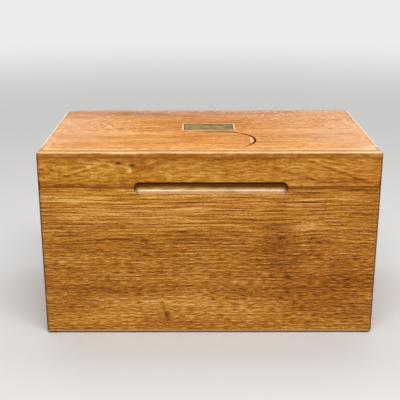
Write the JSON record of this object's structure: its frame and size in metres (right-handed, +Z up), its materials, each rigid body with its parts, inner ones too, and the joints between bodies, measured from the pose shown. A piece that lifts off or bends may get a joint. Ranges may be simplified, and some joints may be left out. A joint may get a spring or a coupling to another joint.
{
  "type": "donation box",
  "caption": "Hinged-lid wooden box with a finger groove across the lid seam and a blank brass plate on top; it rests on thin pads.",
  "frame": {"origin": "on the floor under the middle of the box", "axes": "+Z up, the front with the finger groove faces -Y, +X to the right seen from the front"},
  "size_m": [0.3556, 0.2096, 0.2063],
  "materials": {
    "base_walnut": "worn satin varnish over brown walnut, straight grain along the boards",
    "lid_walnut": "worn satin varnish over brown walnut, cathedral grain and two small knots on the front rail",
    "top_walnut": "worn, faded varnish with a dark ring stain and fine scratches",
    "panel_wood": "unvarnished plywood",
    "foot_rubber": "matt black rubber",
    "plate_brass": "pale brass rim with a dulled olive field",
    "hinge_brass": "drawn brass, lightly tarnished",
    "screw_brass": "turned brass"
  },
  "bodies": {
    "base": {"base_front": "base_walnut", "base_back": "base_walnut", "base_left": "base_walnut", "base_right": "base_walnut", "bottom_panel": "panel_wood", "foot_front_left": "foot_rubber", "foot_front_right": "foot_rubber", "foot_back_left": "foot_rubber", "foot_back_right": "foot_rubber", "hinge_left_base_leaf": "hinge_brass", "hinge_right_base_leaf": "hinge_brass", "hinge_left_pin": "hinge_brass", "hinge_right_pin": "hinge_brass", "hinge_left_base_screws": "screw_brass", "hinge_right_base_screws": "screw_brass"},
    "lid": {"lid_front": "lid_walnut", "lid_back": "lid_walnut", "lid_left": "lid_walnut", "lid_right": "lid_walnut", "top_panel": "top_walnut", "name_plate": "plate_brass", "hinge_left_lid_leaf": "hinge_brass", "hinge_right_lid_leaf": "hinge_brass", "hinge_left_lid_screws": "screw_brass", "hinge_right_lid_screws": "screw_brass"}
  },
  "joints": [
    {"name": "lid_hinge", "type": "hinge", "parent": "base", "child": "lid", "pos_m": [0, 0.1016, 0.16725], "axis": [-1, 0, 0], "range_deg": [0, 95]}
  ]
}
